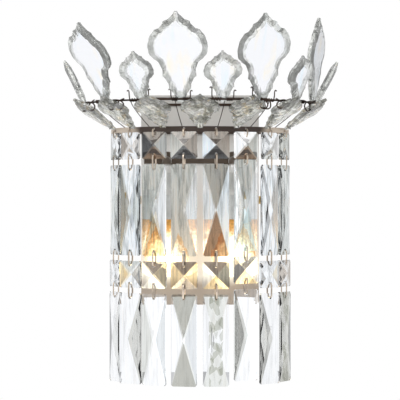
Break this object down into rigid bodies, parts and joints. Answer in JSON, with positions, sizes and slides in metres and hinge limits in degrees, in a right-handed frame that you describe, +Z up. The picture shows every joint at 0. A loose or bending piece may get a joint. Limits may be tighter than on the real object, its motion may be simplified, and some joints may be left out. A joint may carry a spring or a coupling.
{
  "type": "wall sconce",
  "caption": "Wall sconce with a half-round curtain of cut crystal strands round two small lamps, under a crown of upright crystal leaves on a metal back plate.",
  "frame": {"origin": "middle of the back plate's back, on the wall", "axes": "+Y into the wall, +Z up, +X to the right seen from the front"},
  "size_m": [0.274, 0.1711, 0.3558],
  "materials": {
    "plate": "aged",
    "bracket": "satin",
    "screw": "knurled",
    "dark_metal": "aged",
    "link_wire": "aged",
    "crystal": "polished",
    "lamp_metal": "satin",
    "bulb": "clear",
    "block": "moulded"
  },
  "bodies": {
    "fixture": {"back_plate": "plate", "wall_bracket": "bracket", "side_screws": "screw", "hanging_ring": "dark_metal", "crown_ring": "dark_metal", "crown_pendalogues": "crystal", "collar_pendalogues": "crystal", "lamp_bracket": "lamp_metal", "lampholders": "lamp_metal", "terminal_block": "block"},
    "swinging_upper_square_1": {"upper_square_1": "crystal", "upper_links_1": "link_wire"},
    "swinging_upper_prism_1": {"upper_prism_1": "crystal"},
    "swinging_lower_square_1": {"lower_square_1": "crystal", "lower_links_1": "link_wire"},
    "swinging_lower_prism_1": {"lower_prism_1": "crystal"},
    "swinging_upper_square_2": {"upper_square_2": "crystal", "upper_links_2": "link_wire"},
    "swinging_upper_prism_2": {"upper_prism_2": "crystal"},
    "swinging_lower_square_2": {"lower_square_2": "crystal", "lower_links_2": "link_wire"},
    "swinging_lower_prism_2": {"lower_prism_2": "crystal"},
    "swinging_upper_square_3": {"upper_square_3": "crystal", "upper_links_3": "link_wire"},
    "swinging_upper_prism_3": {"upper_prism_3": "crystal"},
    "swinging_lower_square_3": {"lower_square_3": "crystal", "lower_links_3": "link_wire"},
    "swinging_lower_prism_3": {"lower_prism_3": "crystal"},
    "swinging_upper_square_4": {"upper_square_4": "crystal", "upper_links_4": "link_wire"},
    "swinging_upper_prism_4": {"upper_prism_4": "crystal"},
    "swinging_lower_square_4": {"lower_square_4": "crystal", "lower_links_4": "link_wire"},
    "swinging_lower_prism_4": {"lower_prism_4": "crystal"},
    "swinging_upper_square_5": {"upper_square_5": "crystal", "upper_links_5": "link_wire"},
    "swinging_upper_prism_5": {"upper_prism_5": "crystal"},
    "swinging_lower_square_5": {"lower_square_5": "crystal", "lower_links_5": "link_wire"},
    "swinging_lower_prism_5": {"lower_prism_5": "crystal"},
    "swinging_upper_square_6": {"upper_square_6": "crystal", "upper_links_6": "link_wire"},
    "swinging_upper_prism_6": {"upper_prism_6": "crystal"},
    "swinging_lower_square_6": {"lower_square_6": "crystal", "lower_links_6": "link_wire"},
    "swinging_lower_prism_6": {"lower_prism_6": "crystal"},
    "swinging_upper_square_7": {"upper_square_7": "crystal", "upper_links_7": "link_wire"},
    "swinging_upper_prism_7": {"upper_prism_7": "crystal"},
    "swinging_lower_square_7": {"lower_square_7": "crystal", "lower_links_7": "link_wire"},
    "swinging_lower_prism_7": {"lower_prism_7": "crystal"},
    "swinging_upper_square_8": {"upper_square_8": "crystal", "upper_links_8": "link_wire"},
    "swinging_upper_prism_8": {"upper_prism_8": "crystal"},
    "swinging_lower_square_8": {"lower_square_8": "crystal", "lower_links_8": "link_wire"},
    "swinging_lower_prism_8": {"lower_prism_8": "crystal"},
    "bulb_left": {"bulb_left": "bulb"},
    "bulb_right": {"bulb_right": "bulb"}
  },
  "joints": [
    {"name": "swing_upper_square_1", "type": "hinge", "parent": "fixture", "child": "swinging_upper_square_1", "pos_m": [-0.08269, -0.0551, 0.06555], "axis": [0.342, -0.9397, 0], "range_deg": [-8, 8]},
    {"name": "swing_upper_prism_1", "type": "hinge", "parent": "swinging_upper_square_1", "child": "swinging_upper_prism_1", "pos_m": [-0.08269, -0.0551, 0.03245], "axis": [-0.342, 0.9397, 0], "range_deg": [-10, 10]},
    {"name": "swing_lower_square_1", "type": "hinge", "parent": "swinging_upper_prism_1", "child": "swinging_lower_square_1", "pos_m": [-0.08269, -0.0551, -0.05205], "axis": [0.4173, -0.9088, 0], "range_deg": [-10, 10]},
    {"name": "swing_lower_prism_1", "type": "hinge", "parent": "swinging_lower_square_1", "child": "swinging_lower_prism_1", "pos_m": [-0.08269, -0.0551, -0.09215], "axis": [-0.4173, 0.9088, 0], "range_deg": [-10, 10]},
    {"name": "swing_upper_square_2", "type": "hinge", "parent": "fixture", "child": "swinging_upper_square_2", "pos_m": [-0.06741, -0.08156, 0.06555], "axis": [0.682, -0.7314, 0], "range_deg": [-8, 8]},
    {"name": "swing_upper_prism_2", "type": "hinge", "parent": "swinging_upper_square_2", "child": "swinging_upper_prism_2", "pos_m": [-0.06741, -0.08156, 0.03245], "axis": [-0.682, 0.7314, 0], "range_deg": [-10, 10]},
    {"name": "swing_lower_square_2", "type": "hinge", "parent": "swinging_upper_prism_2", "child": "swinging_lower_square_2", "pos_m": [-0.06741, -0.08156, -0.05205], "axis": [0.7916, -0.6111, 0], "range_deg": [-10, 10]},
    {"name": "swing_lower_prism_2", "type": "hinge", "parent": "swinging_lower_square_2", "child": "swinging_lower_prism_2", "pos_m": [-0.06741, -0.08156, -0.09215], "axis": [-0.7916, 0.6111, 0], "range_deg": [-10, 10]},
    {"name": "swing_upper_square_3", "type": "hinge", "parent": "fixture", "child": "swinging_upper_square_3", "pos_m": [-0.044, -0.10121, 0.06555], "axis": [0.8746, -0.4848, 0], "range_deg": [-8, 8]},
    {"name": "swing_upper_prism_3", "type": "hinge", "parent": "swinging_upper_square_3", "child": "swinging_upper_prism_3", "pos_m": [-0.044, -0.10121, 0.03245], "axis": [-0.8746, 0.4848, 0], "range_deg": [-10, 10]},
    {"name": "swing_lower_square_3", "type": "hinge", "parent": "swinging_upper_prism_3", "child": "swinging_lower_square_3", "pos_m": [-0.044, -0.10121, -0.05205], "axis": [0.8962, -0.4436, 0], "range_deg": [-10, 10]},
    {"name": "swing_lower_prism_3", "type": "hinge", "parent": "swinging_lower_square_3", "child": "swinging_lower_prism_3", "pos_m": [-0.044, -0.10121, -0.09215], "axis": [-0.8962, 0.4436, 0], "range_deg": [-10, 10]},
    {"name": "swing_upper_square_4", "type": "hinge", "parent": "fixture", "child": "swinging_upper_square_4", "pos_m": [-0.01528, -0.11166, 0.06555], "axis": [0.9781, -0.2079, 0], "range_deg": [-8, 8]},
    {"name": "swing_upper_prism_4", "type": "hinge", "parent": "swinging_upper_square_4", "child": "swinging_upper_prism_4", "pos_m": [-0.01528, -0.11166, 0.03245], "axis": [-0.9781, 0.2079, 0], "range_deg": [-10, 10]},
    {"name": "swing_lower_square_4", "type": "hinge", "parent": "swinging_upper_prism_4", "child": "swinging_lower_square_4", "pos_m": [-0.01528, -0.11166, -0.05205], "axis": [0.973, -0.2306, 0], "range_deg": [-10, 10]},
    {"name": "swing_lower_prism_4", "type": "hinge", "parent": "swinging_lower_square_4", "child": "swinging_lower_prism_4", "pos_m": [-0.01528, -0.11166, -0.09215], "axis": [-0.973, 0.2306, 0], "range_deg": [-10, 10]},
    {"name": "swing_upper_square_5", "type": "hinge", "parent": "fixture", "child": "swinging_upper_square_5", "pos_m": [0.01528, -0.11166, 0.06555], "axis": [0.9903, 0.1392, 0], "range_deg": [-8, 8]},
    {"name": "swing_upper_prism_5", "type": "hinge", "parent": "swinging_upper_square_5", "child": "swinging_upper_prism_5", "pos_m": [0.01528, -0.11166, 0.03245], "axis": [-0.9903, -0.1392, 0], "range_deg": [-10, 10]},
    {"name": "swing_lower_square_5", "type": "hinge", "parent": "swinging_upper_prism_5", "child": "swinging_lower_square_5", "pos_m": [0.01528, -0.11166, -0.05205], "axis": [0.9945, 0.1045, 0], "range_deg": [-10, 10]},
    {"name": "swing_lower_prism_5", "type": "hinge", "parent": "swinging_lower_square_5", "child": "swinging_lower_prism_5", "pos_m": [0.01528, -0.11166, -0.09215], "axis": [-0.9945, -0.1045, 0], "range_deg": [-10, 10]},
    {"name": "swing_upper_square_6", "type": "hinge", "parent": "fixture", "child": "swinging_upper_square_6", "pos_m": [0.044, -0.10121, 0.06555], "axis": [0.8387, 0.5446, 0], "range_deg": [-8, 8]},
    {"name": "swing_upper_prism_6", "type": "hinge", "parent": "swinging_upper_square_6", "child": "swinging_upper_prism_6", "pos_m": [0.044, -0.10121, 0.03715], "axis": [-0.8387, -0.5446, 0], "range_deg": [-10, 10]},
    {"name": "swing_lower_square_6", "type": "hinge", "parent": "swinging_upper_prism_6", "child": "swinging_lower_square_6", "pos_m": [0.044, -0.10121, -0.04735], "axis": [0.8746, 0.4848, 0], "range_deg": [-10, 10]},
    {"name": "swing_lower_prism_6", "type": "hinge", "parent": "swinging_lower_square_6", "child": "swinging_lower_prism_6", "pos_m": [0.044, -0.10121, -0.08745], "axis": [-0.8746, -0.4848, 0], "range_deg": [-10, 10]},
    {"name": "swing_upper_square_7", "type": "hinge", "parent": "fixture", "child": "swinging_upper_square_7", "pos_m": [0.06741, -0.08156, 0.06555], "axis": [0.5878, 0.809, 0], "range_deg": [-8, 8]},
    {"name": "swing_upper_prism_7", "type": "hinge", "parent": "swinging_upper_square_7", "child": "swinging_upper_prism_7", "pos_m": [0.06741, -0.08156, 0.03245], "axis": [-0.5878, -0.809, 0], "range_deg": [-10, 10]},
    {"name": "swing_lower_square_7", "type": "hinge", "parent": "swinging_upper_prism_7", "child": "swinging_lower_square_7", "pos_m": [0.06741, -0.08156, -0.05205], "axis": [0.6947, 0.7193, 0], "range_deg": [-10, 10]},
    {"name": "swing_lower_prism_7", "type": "hinge", "parent": "swinging_lower_square_7", "child": "swinging_lower_prism_7", "pos_m": [0.06741, -0.08156, -0.09215], "axis": [-0.6947, -0.7193, 0], "range_deg": [-10, 10]},
    {"name": "swing_upper_square_8", "type": "hinge", "parent": "fixture", "child": "swinging_upper_square_8", "pos_m": [0.08269, -0.0551, 0.06555], "axis": [0.3584, 0.9336, 0], "range_deg": [-8, 8]},
    {"name": "swing_upper_prism_8", "type": "hinge", "parent": "swinging_upper_square_8", "child": "swinging_upper_prism_8", "pos_m": [0.08269, -0.0551, 0.03245], "axis": [-0.3584, -0.9336, 0], "range_deg": [-10, 10]},
    {"name": "swing_lower_square_8", "type": "hinge", "parent": "swinging_upper_prism_8", "child": "swinging_lower_square_8", "pos_m": [0.08269, -0.0551, -0.05205], "axis": [0.4331, 0.9013, 0], "range_deg": [-10, 10]},
    {"name": "swing_lower_prism_8", "type": "hinge", "parent": "swinging_lower_square_8", "child": "swinging_lower_prism_8", "pos_m": [0.08269, -0.0551, -0.09215], "axis": [-0.4331, -0.9013, 0], "range_deg": [-10, 10]},
    {"name": "unscrew_bulb_left", "type": "slide", "parent": "fixture", "child": "bulb_left", "axis": [0, 0, -1], "range_m": [0, 0.03]},
    {"name": "unscrew_bulb_right", "type": "slide", "parent": "fixture", "child": "bulb_right", "axis": [0, 0, -1], "range_m": [0, 0.03]}
  ]
}
